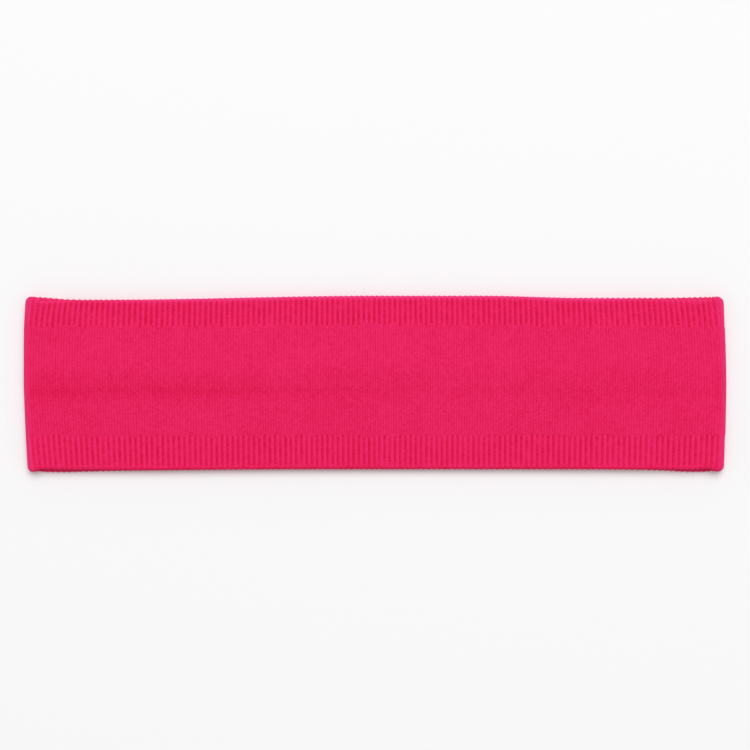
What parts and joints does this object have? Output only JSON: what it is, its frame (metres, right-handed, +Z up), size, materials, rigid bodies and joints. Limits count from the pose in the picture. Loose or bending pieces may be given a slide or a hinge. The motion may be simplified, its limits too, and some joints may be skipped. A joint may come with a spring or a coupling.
{
  "type": "sports headband",
  "caption": "Wide seamless knitted sweatband for the forehead, a double-layer elastic loop with ribbed edges, lying flat.",
  "frame": {"origin": "centre of the underside, on the surface that the flat band lies on", "axes": "+X along the flat band from fold to fold, +Y across its width to the upper ribbed edge, +Z up"},
  "size_m": [0.225, 0.0564, 0.0046],
  "materials": {
    "plain_knit": "fine plain knit, matte",
    "rib_knit": "one-by-one rib knit, matte",
    "seam_yarn": "linked chain of the same yarn",
    "elastic_yarn": "covered elastic yarn, matte"
  },
  "bodies": {
    "root": {"outer_panel": "plain_knit", "upper_lining": "plain_knit", "lower_lining": "plain_knit", "upper_ribbed_edge": "rib_knit", "lower_ribbed_edge": "rib_knit", "linking_seam": "seam_yarn", "upper_elastic_1": "elastic_yarn", "upper_elastic_2": "elastic_yarn", "upper_elastic_3": "elastic_yarn", "upper_elastic_4": "elastic_yarn", "upper_elastic_5": "elastic_yarn", "lower_elastic_1": "elastic_yarn", "lower_elastic_2": "elastic_yarn", "lower_elastic_3": "elastic_yarn", "lower_elastic_4": "elastic_yarn", "lower_elastic_5": "elastic_yarn"}
  },
  "joints": []
}
